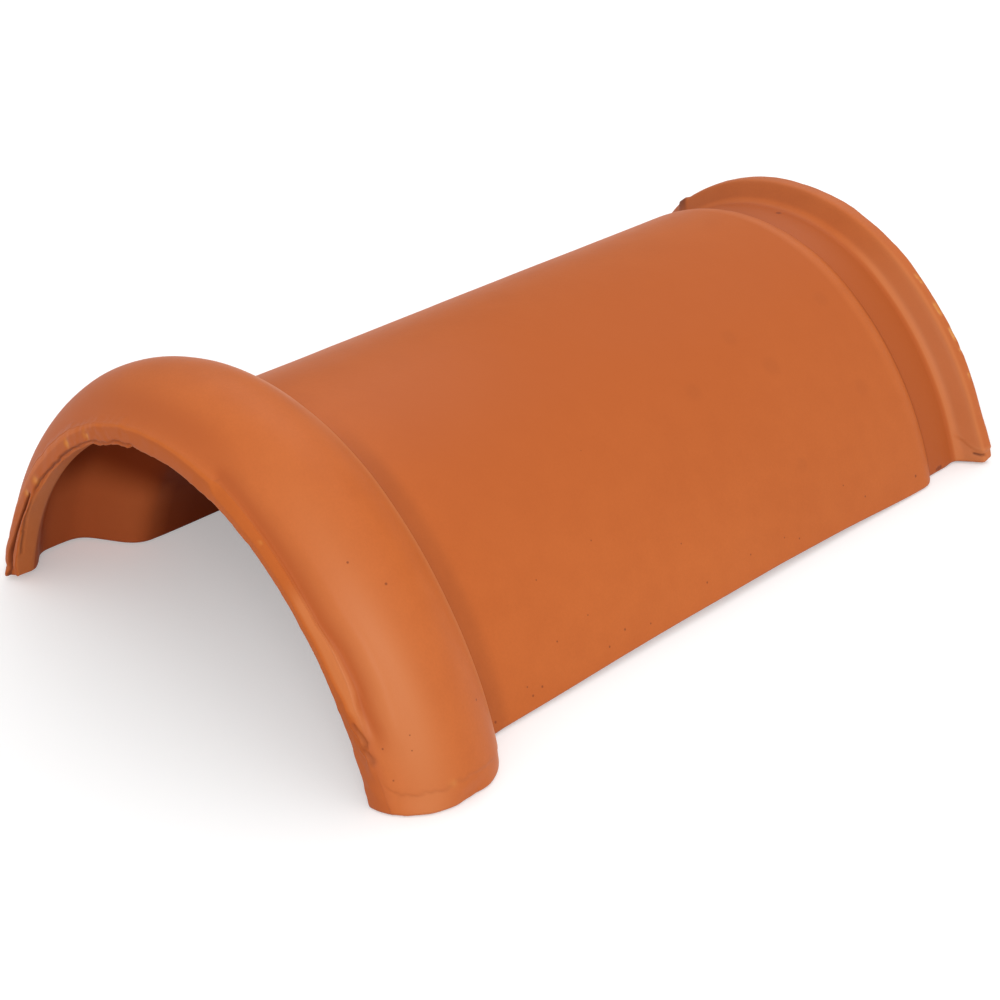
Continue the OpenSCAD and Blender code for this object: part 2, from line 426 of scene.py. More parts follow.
# Pin holes and small dents as (t, y, radius)
BODY_PITS = [
    (0.974, 70.8, 0.9), (0.944, 91.5, 0.6), (0.967, 93.4, 0.8), (0.960, 99.4, 0.8), (0.891, 113.4, 0.6),
    (0.757, 114.0, 0.5), (0.875, 133.8, 0.5), (0.961, 141.0, 0.7), (0.738, 150.0, 0.5), (0.945, 151.9, 0.8),
    (0.963, 167.5, 0.6), (0.561, 168.5, 0.5), (0.838, 197.9, 0.5), (0.946, 206.5, 0.7), (0.939, 237.6, 0.6),
    (0.943, 262.0, 0.6), (0.962, 271.8, 0.7), (0.897, 309.7, 0.6), (0.945, 323.1, 0.7), (0.957, 362.8, 1.0),
]
ROLL_PITS = [
    (0.565, 19.0, 0.7), (0.621, 28.0, 0.8), (0.932, 5.9, 0.65), (0.874, 5.5, 0.6), (0.883, 13.2, 0.45),
    (0.857, 14.0, 0.45), (0.855, 47.9, 0.8),
]
NECK_PITS = [(0.012, 397.4, 2.0), (0.990, 387.0, 1.2), (0.989, 388.6, 1.6), (0.989, 390.2, 1.6)]
# Faint stains on the body as (t, y, radius)
STAINS = [
    (0.470, 285.0, 6.0), (0.574, 297.0, 7.0), (0.479, 353.0, 6.0), (0.552, 245.0, 6.0), (0.709, 345.0, 6.0),
    (0.807, 287.0, 5.0),
]
# Share of a spot's radius that has its full strength
SPOT_CORE = 0.35

# Colours of the clay, of its painted shade and highlights, and how strongly the lines and spots cover it
CLAY_DARK = (0.546, 0.1280, 0.0235)
CLAY_LIGHT = (0.580, 0.1410, 0.0275)
GRAIN_DARK = (0.95, 0.95, 0.95)
MOTTLE_DARK = (0.965, 0.95, 0.93)
WHITE = (1.0, 1.0, 1.0)
# Painted highlight
HIGHLIGHT_PAINT = (0.590, 0.176, 0.0520)
# Painted shade in hollows
HOLLOW_SHADE = (0.472, 0.103, 0.0185)
# Painted shade on the front face
FRONT_SHADE_COLOUR = (0.452, 0.100, 0.0190)
# Painted shade inside the arch, and deeper in
INSIDE_SHADE = (0.46, 0.108, 0.032)
DEEP_SHADE = (0.18, 0.026, 0.004)
FRESH_CLAY = (0.78, 0.33, 0.07)
# Dark colour of the painted shade in lines and bands, also the colour of the real stains
SHADE_AND_STAIN = (0.13, 0.028, 0.010)
# Painted shade in the pits
PIT_SHADE = (0.18, 0.035, 0.012)
FRESH_COVER = 0.8
SHADE_COVER = 0.8
STAIN_COVER = 0.055
PIT_SHADE_COVER = 0.7
# Changes of colour over the clay as (start, colour there, end, colour there) of a noise
CLOUDS = (0.3, CLAY_DARK, 0.7, CLAY_LIGHT)
GRAIN = (0.3, GRAIN_DARK, 0.7, WHITE)
MOTTLE = (0.35, MOTTLE_DARK, 0.6, WHITE)
# Noises over the clay as (scale per metre, detail, roughness)
CLOUD_NOISE = (13.0, 4.0, 0.55)
GRAIN_NOISE = (900.0, 3.0, 0.55)
MOTTLE_NOISE = (75.0, 3.0, 0.55)
BUMP_NOISE = (420.0, 5.0, 0.6)
PIT_BUMP = 2.0
BUMP_STRENGTH = 0.15
BUMP_DISTANCE = 0.0004
ROUGHNESS = 0.48
SHEEN = 0.22
MATT_SHEEN = 0.03
# Sockets of Blender's mix node when it mixes colours
MIX_FACTOR, MIX_A, MIX_B, MIX_RESULT = 0, 6, 7, 2

# Studio, in metres: the floor, the light from all round, and the lamps as (name, place, size, power)
FLOOR_HALF = 40.0
FLOOR_LEVEL = -0.0002
FLOOR_PALE = (0.80, 0.80, 0.80, 1)
FLOOR_BOUNCE = (0.71, 0.71, 0.71, 1)
FLOOR_GLOW = 0.29
DIM_SIDE = (-0.82, 0.30, -0.49)
DIM_START, DIM_END = 0.1, 0.85
SKY_LEVEL, DIM_LEVEL = 0.91, 0.35
LAMPS = [("key", (1.56, -1.29, 0.91), 0.8, 11.2), ("rim", (-0.5, 0.9, 1.3), 1.6, 4.5)]
LAMP_TARGET = (0, 0, 0.05)

# Camera: angles in degrees, distance in metres and target in millimetres
CAMERA_AZIMUTH = 45.646
CAMERA_ELEVATION = 28.63
CAMERA_ROLL = -0.657
CAMERA_DISTANCE = 1.027795
CAMERA_TARGET = (3.242, -17.538, 16.989)
SENSOR_WIDTH = 36.0
LENS = 77.4


def bell(x, width):
    return np.exp(-((x / width) ** 2))


def rise(x, start, end):
    """Smooth step from 0 at start to 1 at end."""
    f = np.clip((x - start) / (end - start), 0, 1)
    return f * f * (3 - 2 * f)


def fall(x, start, end):
    """Smooth step from 1 at start to 0 at end."""
    return 1 - rise(x, start, end)


def span(x, start, end, soft):
    """1 between start and end, falling to 0 over the length soft on either side."""
    return rise(x, start - soft, start) * fall(x, end, end + soft)


def climb(x, height, start, end):
    """Smooth step from 0 at start to the height at end."""
    return height * rise(x, start, end)


def soft_over(x, width):
    """x where it is positive and 0 elsewhere, with a rounded corner."""
    return width * np.logaddexp(0, x / width)


def along(x, pairs):
    places, values = zip(*pairs)
    return np.interp(x, places, values)


def wave(u, v, height, cell, seed):
    """Smooth random values from -height to height over the plane (u, v), with one draw per cell."""
    draws = np.random.default_rng(seed).uniform(-1, 1, (NOISE_SIZE, NOISE_SIZE))
    u, v = np.broadcast_arrays(u / cell, v / cell)
    cu, cv = np.floor(u).astype(int), np.floor(v).astype(int)
    fu, fv = u - cu, v - cv
    fu, fv = fu * fu * (3 - 2 * fu), fv * fv * (3 - 2 * fv)

    def corner(a, b):
        return draws[(cu + a) % NOISE_SIZE, (cv + b) % NOISE_SIZE]

    near = corner(0, 0) * (1 - fu) + corner(1, 0) * fu
    far = corner(0, 1) * (1 - fu) + corner(1, 1) * fu
    return height * (near * (1 - fv) + far * fv)


def waves(u, v, sizes):
    return sum(wave(u, v, *size) for size in sizes)


def path_distance(u, v, path):
    """Distance in the plane (u, v) to a path of (t, v) points."""
    nearest = np.full(np.broadcast_shapes(u.shape, v.shape), np.inf)
    for (t0, v0), (t1, v1) in zip(path[:-1], path[1:]):
        u0, u1 = t0 * ARCH_HALF, t1 * ARCH_HALF
        square = (u1 - u0) ** 2 + (v1 - v0) ** 2
        part = np.clip(((u - u0) * (u1 - u0) + (v - v0) * (v1 - v0)) / square, 0, 1)
        nearest = np.minimum(nearest, np.hypot(u - u0 - part * (u1 - u0), v - v0 - part * (v1 - v0)))
    return nearest


def arc(centre, radius, start, end):
    """Points of an arc in the (y, r) plane. Angles are in degrees, and the end point is left out."""
    count = max(2, round(abs(math.radians(end - start)) * radius / DENSE))
    angle = np.radians(np.linspace(start, end, count, endpoint=False))
    return np.stack([centre[0] + radius * np.cos(angle), centre[1] + radius * np.sin(angle)], 1)


def line(start, end):
    """Points of a straight stretch in the (y, r) plane, without its end point."""
    start, end = np.array(start), np.array(end)
    count = max(2, round(np.linalg.norm(end - start) / DENSE))
    return start + np.linspace(0, 1, count, endpoint=False)[:, None] * (end - start)


def corner_arc(before, corner, after, radius):
    """Points of the arc that rounds a corner of the section."""
    a = np.array(before) - corner
    b = np.array(after) - corner
    a /= np.linalg.norm(a)
    b /= np.linalg.norm(b)
    half = math.acos(float(np.clip(a @ b, -1, 1))) / 2
    centre = np.array(corner) + (a + b) / np.linalg.norm(a + b) * radius / math.sin(half)
    first = np.array(corner) + a * radius / math.tan(half) - centre
    last = np.array(corner) + b * radius / math.tan(half) - centre
    start = math.degrees(math.atan2(first[1], first[0]))
    turn = math.degrees(math.atan2(first[0] * last[1] - first[1] * last[0], first @ last))
    return arc(centre, radius, start, start + turn)


def run_at(height, slope):
    return height / math.tan(math.radians(slope))


def section():
    """The closed half section as zones of (name, row spacing, points), from the lip's front face on."""
    roll_centre = (ROLL_Y, ROLL_R - ROLL_RADIUS)
    lip_rise = LIP_R + LIP_FILLET - roll_centre[1]
    lip_run = math.sqrt((ROLL_RADIUS + LIP_FILLET) ** 2 - lip_rise**2)
    lip_angle = math.degrees(math.atan2(lip_rise, -lip_run))
    crease_rise = CROWN_R + CREASE_FILLET - roll_centre[1]
    crease_run = math.sqrt((ROLL_RADIUS + CREASE_FILLET) ** 2 - crease_rise**2)
    crease_angle = math.degrees(math.atan2(crease_rise, crease_run))
    crease_y = ROLL_Y + crease_run
    close_y = crease_y + BODY_CLOSE
    step_run = math.sqrt(STEP_RADIUS**2 - (STEP_RADIUS - CROWN_R + NECK_R) ** 2)
    step_y = COVER - step_run
    step_angle = math.degrees(math.atan2(NECK_R - CROWN_R + STEP_RADIUS, step_run))
    foot = (FLANGE_FOOT, NECK_R)
    top = (FLANGE_FOOT + run_at(FLANGE_R - NECK_R, FLANGE_SLOPE), FLANGE_R)
    back_top, back_bore = (LENGTH, FLANGE_R), (LENGTH, BORE_R)
    hollow = corner_arc((COVER, NECK_R), foot, top, FLANGE_FILLET)
    nose = corner_arc(foot, top, back_top, FLANGE_ROUND)
    edge_back = (CAVITY_END, BORE_R)
    corner_back = (CAVITY_END - run_at(CAVITY_R - BORE_R, CAVITY_BACK_SLOPE), CAVITY_R)
    corner_front = (CAVITY_START + run_at(CAVITY_R - LIP_BORE_R, CAVITY_FRONT_SLOPE), CAVITY_R)
    edge_front, lip_inner = (CAVITY_START, LIP_BORE_R), (0.0, LIP_BORE_R)
    bore_end = corner_arc(back_bore, edge_back, corner_back, CAVITY_BACK_EDGE)
    cavity_back = corner_arc(edge_back, corner_back, corner_front, CAVITY_CORNER)
    cavity_front = corner_arc(corner_back, corner_front, edge_front, CAVITY_CORNER)
    mouth = corner_arc(corner_front, edge_front, lip_inner, CAVITY_FRONT_EDGE)
    return [
        ("face", 0.34, line(lip_inner, (0.0, LIP_R))),
        ("lip", 0.5, line((0.0, LIP_R), (ROLL_Y - lip_run, LIP_R))),
        ("lip", 0.4, arc((ROLL_Y - lip_run, LIP_R + LIP_FILLET), LIP_FILLET, -90, lip_angle - 180)),
        ("roll", 2.0, arc(roll_centre, ROLL_RADIUS, lip_angle, crease_angle)),
        ("crease", 0.6, arc((crease_y, CROWN_R + CREASE_FILLET), CREASE_FILLET, crease_angle + 180, 270)),
        ("body", 1.8, line((crease_y, CROWN_R), (close_y, CROWN_R))),
        ("body", 9.0, line((close_y, CROWN_R), (step_y, CROWN_R))),
        ("step", 1.0, arc((step_y, CROWN_R - STEP_RADIUS), STEP_RADIUS, 90, step_angle)),
        ("neck", 1.5, line((COVER, NECK_R), hollow[0])),
        ("flange", 0.8, hollow),
        ("flange", 0.9, line(hollow[-1], nose[0])),
        ("flange", 0.6, nose),
        ("flange", 0.7, line(nose[-1], back_top)),
        ("end", 1.6, line(back_top, back_bore)),
        ("bore", 14.0, line(back_bore, bore_end[0])),
        ("cavity", 1.6, bore_end),
        ("cavity", 1.8, line(bore_end[-1], cavity_back[0])),
        ("cavity", 1.5, cavity_back),
        ("cavity", 1.8, line(cavity_back[-1], cavity_front[0])),
        ("cavity", 1.5, cavity_front),
        ("cavity", 1.6, line(cavity_front[-1], mouth[0])),
        ("cavity", 1.0, mouth),
        ("lip_bore", 0.8, line(mouth[-1], lip_inner)),
    ]


def smooth_loop(values, sigma):
    """Gaussian smoothing along a closed loop of samples that lie DENSE apart; sigma is a length."""
    half = int(KERNEL_REACH * sigma / DENSE) + 1
    kernel = np.exp(-0.5 * (np.arange(-half, half + 1) * DENSE / sigma) ** 2)
    kernel /= kernel.sum()
    padded = np.concatenate([values[-half:], values, values[:half]])
    if values.ndim == 1:
        return np.convolve(padded, kernel, "valid")
    return np.stack([np.convolve(padded[:, k], kernel, "valid") for k in range(values.shape[1])], 1)


class Rows:
    """The mesh's rows along the section: place, outward normal, soft normal, distance run and zone."""

    def __init__(self):
        zones = section()
        raw = np.concatenate([zone[2] for zone in zones])
        names = np.concatenate([np.full(len(zone[2]), zone[0], dtype=object) for zone in zones])
        spacing = np.concatenate([np.full(len(zone[2]), zone[1]) for zone in zones])
        hollow = smooth_loop((names == "cavity").astype(float), CAVITY_SOFT)[:, None]
        hollow = np.where((names == "lip_bore")[:, None], hollow * LIP_BORE_SHARE, hollow)
        points = smooth_loop(raw, EDGE_SOFT) * (1 - hollow) + smooth_loop(raw, CAVITY_SOFT) * hollow
        points = smooth_loop(points, EDGE_SOFT)
        step = np.roll(points, -1, 0) - np.roll(points, 1, 0)
        normal = np.stack([-step[:, 1], step[:, 0]], 1)
        normal /= np.linalg.norm(normal, axis=1)[:, None]
        soft = smooth_loop(normal, NORMAL_SOFT)
        travel = np.linalg.norm(np.roll(points, -1, 0) - points, axis=1)
        weight = np.concatenate([[0], np.cumsum(smooth_loop(1 / spacing, SPACING_SOFT) * travel)])
        count = round(weight[-1])
        picks = np.interp(np.arange(count) * weight[-1] / count, weight, np.arange(len(weight)))
        picks = np.round(picks).astype(int) % len(points)
        self.y, self.r = points[picks, :1], points[picks, 1:]
        self.normal, self.soft = normal[picks], soft[picks]
        self.run = np.cumsum(travel)[picks][:, None]
        self.names = names[picks]

    def zone(self, *names):
        """1 in the rows of these zones and 0 in the others."""
        return np.isin(self.names.astype(str), names)[:, None].astype(float)


def column_places():
    """Places of the mesh's columns along the arch, closer together near the feet."""
    fine = np.linspace(-1, 1, FINE_PLACES)
    density = 1 + FOOT_DENSE * bell(1 - abs(fine), FOOT_DENSE_REACH)
    total = np.concatenate([[0], np.cumsum((density[1:] + density[:-1]) / 2)])
    return np.interp(np.linspace(0, total[-1], COLUMNS), total, fine)


def arch(t, y, r, height):
    """Across and up of the place t on the arch with radius r, where the foot ends at that height."""
    lift = np.where(t < 0, along(y, LIFT_LEFT), along(y, LIFT_RIGHT))
    level_end = np.arccos((height - FLANK_Z) / (r + FLANK_OFFSET))
    lifted_end = np.arccos((height + lift - FLANK_Z) / (r + FLANK_OFFSET))
    lean = abs(t) * level_end - (level_end - lifted_end) * rise(abs(t), LIFT_START, 1)
    flank = lean > CROWN_ANGLE
    across = np.where(flank, FLANK_X + (r + FLANK_OFFSET) * np.sin(lean), r * np.sin(lean))
    up = np.where(flank, FLANK_Z + (r + FLANK_OFFSET) * np.cos(lean), AXIS_Z + r * np.cos(lean))
    return np.sign(t) * across, up


class Surface:
    """Shifts (dy, dr) and masks of every vertex, over the rows of the section and the columns t."""

    def __init__(self, rows, t):
        self.rows = rows
        self.y, self.r = rows.y, rows.r
        self.t = t[None, :]
        self.u = self.t * ARCH_HALF
        shape = (len(rows.y), len(t))
        self.dy, self.dr = np.zeros(shape), np.zeros(shape)
        self.masks = {name: np.zeros(shape) for name in MASKS}

    def push(self, depth):
        """Moves the vertices along the section's outward normal."""
        self.dy += self.rows.normal[:, :1] * depth
        self.dr += self.rows.normal[:, 1:] * depth

    def paint(self, mask, value):
        """Adds to a mask."""
        self.masks[mask] += value

    def lip_front(self):
        """1 on the lip's front face, fading behind it."""
        return self.rows.zone("face", "lip_bore", "lip") * bell(self.y, FACE_DEPTH)


def uneven_clay(s):
    """Gentle unevenness all over, from pressing and drying."""
    s.push(waves(s.u, s.rows.run, CLAY_WAVES))


def lip_bevel(s):
    """The front face turns back into a bevel."""
    crisp = rise(s.t, *CRISP_START) * fall(s.t, *CRISP_END)
    start = along(s.t, BEVEL)
    width = BEVEL_ROUND - CRISP_LESS_ROUND * crisp
    s.dy += s.rows.zone("face", "lip_bore") * BEVEL_SLOPE * soft_over(s.r - start, width)
    edge = BEVEL_SLOPE * soft_over(LIP_R - start, width)
    s.dy += s.rows.zone("lip") * (edge + soft_over(s.y - edge, LIP_CORNER) - s.y)


def lip_groove(s):
    """A groove parts the bevel from the roll on the right leg, and clay fills it near the foot."""
    stretch = span(s.t, *GROOVE_STRETCH)
    face, outer = s.rows.zone("face"), s.rows.zone("lip", "roll")
    behind = s.y + s.dy - along(s.t, GROOVE)
    s.dr -= (outer + face) * along(s.t, GROOVE_DEPTH) * stretch * bell(behind, GROOVE_WIDTH)
    s.dr += outer * stretch * BANK_HEIGHT * bell(behind - BANK_BEHIND, BANK_WIDTH)
    # Painted shade in the groove
    s.paint("hollow", outer * stretch * bell(behind - GROOVE_TONE_BEHIND, GROOVE_TONE_WIDTH))
    s.paint("painted_shade", GROOVE_SHADE * outer * stretch * bell(behind - GROOVE_TONE_BEHIND, GROOVE_SHADE_WIDTH))
    slope = FILL_R + FILL_SLOPE * (s.y + s.dy - FILL_Y)
    filled = (outer + face * rise(s.r, FILL_FACE_R, LIP_R)) * fall(s.y, *FILL_END) * rise(s.t, *FILL_PLACES)
    s.dr += filled * soft_over(slope - s.r - s.dr, FILL_SOFT)


WINDOWS = {
    "from": rise,
    "until": fall,
    "between": span,
    "around": lambda x, middle, width: bell(x - middle, width),
    "outside": lambda x, middle, width: 1 - bell(x - middle, width),
}


def tone(s):
    """Where shade and highlights are painted on the clay, and where the clay is matt."""
    axes = {"t": s.t, "side": abs(s.t), "y": s.y, "moved": s.y + s.dy}
    for mask, strength, zones, windows in TONES:
        value = strength * s.rows.zone(*zones)
        for shape, axis, *numbers in windows:
            value = value * WINDOWS[shape](axes[axis], *numbers)
        s.paint(mask, value)
    # Painted reflection along the roll's back edge
    behind = s.y - along(s.t, ROLL_REFLECTION) + ROLL_REFLECTION_BEFORE
    s.paint("pale", s.rows.zone("roll", "crease") * bell(behind, ROLL_REFLECTION_WIDTH))
    # Painted shade on the front face below the bevel
    edge = along(s.t, BEVEL)
    soft = FRONT_SHADE_SOFT + climb(s.t, *FRONT_SHADE_SOFTER)
    front = s.rows.zone("face") + s.rows.zone("lip_bore") * rise(s.t, *FRONT_SHADE_BORE)
    part = 1 - LESS_FRONT_SHADE * span(s.t, *LESS_FRONT_SHADE_STRETCH)
    s.paint("front_shade", front * fall(s.r, edge - soft, edge + soft) * part)


def lip_face(s):
    """Trim marks, chips and the torn inner edge on the lip's front face."""
    face = s.lip_front()
    torn = face * span(s.t, *TORN_STRETCH)
    s.dy += face * waves(s.u, s.r, FACE_WAVES) + torn * waves(s.u, s.r, TORN_WAVES)
    edge = TORN_R + waves(s.u, 0.0, TORN_R_WAVES)
    below = np.clip(edge - s.r, 0, TORN_FALL)
    groove = bell(s.r - edge + TORN_GROOVE_BELOW, TORN_GROOVE_WIDTH)
    s.dy += torn * (TORN_SLOPE * below + TORN_GROOVE * groove)
    # Painted shadow in the groove below the torn edge
    s.paint("painted_shade", torn * (TORN_SHADE - climb(s.t, *TORN_LESS_SHADE)) * groove)
    outer = s.rows.zone("face", "lip") * rise(s.r, *OUTER_EDGE_R) * fall(s.t, *OUTER_EDGE_END)
    s.dr += outer * waves(s.u, 0.0, OUTER_EDGE_WAVES)
    inner = s.rows.zone("face", "lip_bore") * bell(s.y, INNER_EDGE_DEPTH)
    inner = inner * rise(INNER_EDGE_R - s.r, 0, INNER_EDGE_SOFT)
    s.dr += inner * waves(s.u, 0.0, INNER_EDGE_WAVES)
    s.dr += inner * fall(s.t, *INNER_EDGE_LEFT_END) * waves(s.u, 0.0, INNER_EDGE_LEFT_WAVES)
    flash = inner * span(s.t, *FLASH_STRETCH)
    s.dr -= flash * (FLASH_DEPTH + waves(s.u, 0.0, FLASH_WAVES))
    s.dy -= flash * FLASH_FORWARD
    shown = rise(wave(s.u, s.r, *LIP_CHIP_GRAIN), *LIP_CHIP_SHOWN)
    for t, r, size in LIP_CHIPS:
        spot = face * bell(np.hypot(s.u - t * ARCH_HALF, s.r - r), size)
        s.dy += LIP_CHIP_DEPTH * spot
        s.paint("fresh", LIP_CHIP_FRESH * spot * shown)


def lip_crack(s):
    """The drying crack down the left leg, with ledges beside it, and the lump at its foot."""
    face = s.lip_front()
    left = -s.t
    width = CRACK_WIDTH + sum(climb(left, *wider) for wider in CRACK_WIDER)
    depth = CRACK_DEPTH - climb(left, *CRACK_SHALLOWER)
    s.dy += face * depth * bell(path_distance(s.u, s.r, CRACK), width)
    # Painted shade in the crack
    dark = path_distance(s.u, s.r - CRACK_SHADE_UP, CRACK)
    s.paint("painted_shade", CRACK_SHADE * face * bell(dark, width + CRACK_SHADE_WIDER))
    s.dy += face * climb(left, *SET_BACK) * rise(SET_BACK_R - s.r, 0, CRACK_SIDE_SOFT)
    flap = span(s.t, *FLAP_STRETCH) * rise(FLAP_R - s.r, 0, CRACK_SIDE_SOFT)
    s.dy -= face * FLAP_FORWARD * flap
    bore = s.rows.zone("lip_bore")
    for path in LEDGES:
        ledge = path_distance(s.u, s.y, path)
        s.dr += bore * LEDGE_DEPTH * bell(ledge, LEDGE_WIDTH)
        # Painted shadow along the ledge
        s.paint("painted_shade", bore * LEDGE_SHADE * bell(ledge, LEDGE_SHADE_WIDTH))
    outer = s.rows.zone("lip", "face", "roll") * rise(s.r, *LUMP_R) * bell(s.y, LUMP_DEPTH)
    s.dr += outer * sum(height * bell(s.u - t * ARCH_HALF, size) for height, t, size in LUMPS)
    s.dy -= face * climb(left, *KNOB) * bell(s.r - KNOB_R, KNOB_WIDTH)


def lip_tears(s):
    """Nicks and torn flakes on the lip of the right leg."""
    face = s.rows.zone("face", "lip") * bell(s.y, TEAR_DEPTH)
    nick = np.hypot((s.u - NICK_T * ARCH_HALF) * NICK_NARROW, s.r - NICK_R)
    s.dy += face * NICK_DEPTH * bell(nick, NICK_WIDTH)
    # Painted shade in the nick
    s.paint("painted_shade", face * NICK_SHADE * bell(nick, NICK_SHADE_WIDTH))
    light = np.hypot(s.u - LIGHT_T * ARCH_HALF, s.r - LIGHT_R)
    s.dy += face * LIGHT_DEPTH * bell(light, LIGHT_WIDTH)
    s.paint("fresh", face * LIGHT_FRESH * bell(light, LIGHT_FRESH_WIDTH))
    for path in TEARS:
        gap = path_distance(s.u, s.r, path)
        flake = path_distance(s.u, s.r + FLAKE_INSIDE, path)
        s.dy += face * (TEAR_GAP * bell(gap, TEAR_GAP_WIDTH) - FLAKE_HEIGHT * bell(flake, FLAKE_WIDTH))
        # Painted shade in the gap and a painted highlight on the flake
        s.paint("painted_shade", face * TEAR_SHADE * bell(gap, TEAR_SHADE_WIDTH))
        s.paint("pale", face * FLAKE_HIGHLIGHT * bell(flake, FLAKE_HIGHLIGHT_WIDTH))
    s.dy += face * span(s.t, *TEAR_STRETCH) * waves(s.u, s.r, TEAR_WAVES)


def roll_foot(s):
    """The foot of the roll was trimmed with a blade: a shallow band above the bearing face."""
    outer = s.rows.zone("lip", "roll", "crease")
    trim = along(s.y, ROLL_TRIM) + waves(0.0, s.rows.run, ROLL_TRIM_WAVES)
    before, after = ROLL_TRIM_EDGE
    below = outer * rise(s.t, trim + before, trim + after)
    s.push(-ROLL_TRIM_DEPTH * below * rise(s.y, *ROLL_TRIM_START))
    # Painted shadow along the trim line and painted light on the band below it
    mark = bell((s.t - trim) * ARCH_HALF, ROLL_TRIM_SHADE_WIDTH) * span(s.y, *ROLL_TRIM_SHADE_STRETCH)
    s.paint("painted_shade", ROLL_TRIM_SHADE * outer * mark)
    s.paint("pale", ROLL_TRIM_LIGHT * below * bell(s.y - ROLL_TRIM_LIGHT_Y, ROLL_TRIM_LIGHT_WIDTH))
    cut = along(s.y, FOOT_TRIM) * rise(s.y, *FOOT_TRIM_START)
    s.push(-outer * cut * rise(s.t, trim, FOOT_TRIM_END) ** FOOT_TRIM_CURVE)
    lip = s.rows.zone("face", "lip", "roll") * rise(s.r, *SPREAD_R) * fall(s.y, *SPREAD_END)
    s.dr += lip * climb(s.t, *SPREAD)
    s.dr += s.rows.zone("roll", "crease", "body") * BEAD_HEIGHT * bell(s.y - BEAD_Y, BEAD_WIDTH)
    s.push(s.rows.zone("roll") * bell(s.y - SWELL_Y, SWELL_WIDTH) * climb(s.t, *SWELL))
    spot = bell(np.hypot(s.u - TRIM_SPOT_T * ARCH_HALF, s.y - TRIM_SPOT_Y), TRIM_SPOT_RADIUS)
    s.paint("fresh", TRIM_SPOT_FRESH * s.rows.zone("roll") * spot)


def flange_marks(s):
    """Chips on the rim, the burr on the left, and the fold at the flange's right foot."""
    flange = s.rows.zone("flange", "end") * rise(s.r, *FLANGE_MARK_R)
    for t, y, size in RIM_CHIPS:
        spot = flange * bell(np.hypot(s.u - t * ARCH_HALF, s.y - y), size)
        s.dr -= RIM_CHIP_DEPTH * spot
        s.paint("fresh", spot)
    strip = flange * bell(path_distance(s.u, s.y, RIM_STRIP), RIM_STRIP_WIDTH)
    strip = strip * rise(wave(s.u, s.y, *RIM_STRIP_GRAIN), *RIM_STRIP_SHOWN)
    s.dr -= RIM_STRIP_DEPTH * strip
    s.paint("fresh", strip)
    s.dr += flange * rise(s.y, LENGTH - RIM_DEPTH, LENGTH) * waves(s.u, s.y, RIM_WAVES)
    s.dr += flange * (climb(s.t, *FLANGE_SPREAD) - climb(-s.t, *FLANGE_LOWER))
    burr = flange * span(s.u, BURR_START * ARCH_HALF, BURR_END * ARCH_HALF, BURR_SOFT)
    burr = burr * bell(s.y - BURR_Y, BURR_WIDTH)
    s.dr += BURR_HEIGHT * burr
    # Painted shadow at the burr
    s.paint("painted_shade", BURR_SHADE * burr)
    fold = along(s.y, FLANGE_FOLD)
    s.push(-FOLD_DEPTH * flange * rise(s.t, fold - FOLD_BEFORE, fold + FOLD_SOFT))
    # Painted highlight on the fold's edge and painted light on the strip below it
    s.paint("pale", FOLD_EDGE_HIGHLIGHT * flange * bell((s.t - fold) * ARCH_HALF, FOLD_EDGE_WIDTH))
    s.paint("pale", FOLD_HIGHLIGHT * flange * rise(s.t, fold, fold + FOLD_SOFT))
    slit = s.rows.zone("flange") * bell(path_distance(s.u, s.y, FLANGE_SLIT), SLIT_WIDTH)
    s.dr -= SLIT_DEPTH * slit
    # Painted shade in the slit
    s.paint("painted_shade", SLIT_SHADE * slit)


def foot_cap(rows):
    """Rows of the triangles that close a foot: a strip between the outer and the inner stretch."""
    count = len(rows.names)
    last = int(np.flatnonzero(rows.names == "end")[-1])
    outer = list(range(last + 1))
    inner = [0] + list(range(count - 1, last, -1))
    y = rows.y[:, 0]
    # The inner stretch leads at the front and the outer one at the back, so that no triangle is flat
    order = y.copy()
    order[: last + 1] += CAP_LEAD * (1 - 2 * y[: last + 1] / LENGTH)
    triangles = []
    a, b = 0, 0
    while a + 1 < len(outer) or b + 1 < len(inner):
        inner_done = b + 1 == len(inner)
        if inner_done or (a + 1 < len(outer) and order[outer[a + 1]] <= y[inner[b + 1]]):
            triangles.append((outer[a], outer[a + 1], inner[b]))
            a += 1
        else:
            triangles.append((outer[a], inner[b + 1], inner[b]))
            b += 1
    return [corners for corners in triangles if len(set(corners)) == 3]


def foot_rings(rows, y, r, side):
    """Columns that round a foot's edge, from the last column of the sheet down to the floor."""
    rings = []
    for k in range(1, FOOT_STEPS + 1):
        turn = math.pi / 2 * k / FOOT_STEPS
        inset = rows.soft * FOOT_ROUND * (1 - math.cos(turn))
        ring_y, ring_r = y - inset[:, 0], r - inset[:, 1]
        ring_t = np.full(len(y), float(side))
        ring_x, ring_z = arch(ring_t, ring_y, ring_r, FOOT_ROUND * (1 - math.sin(turn)))
        rings.append(np.stack([ring_x, ring_y, ring_z], 1)[:, None, :])
    return rings


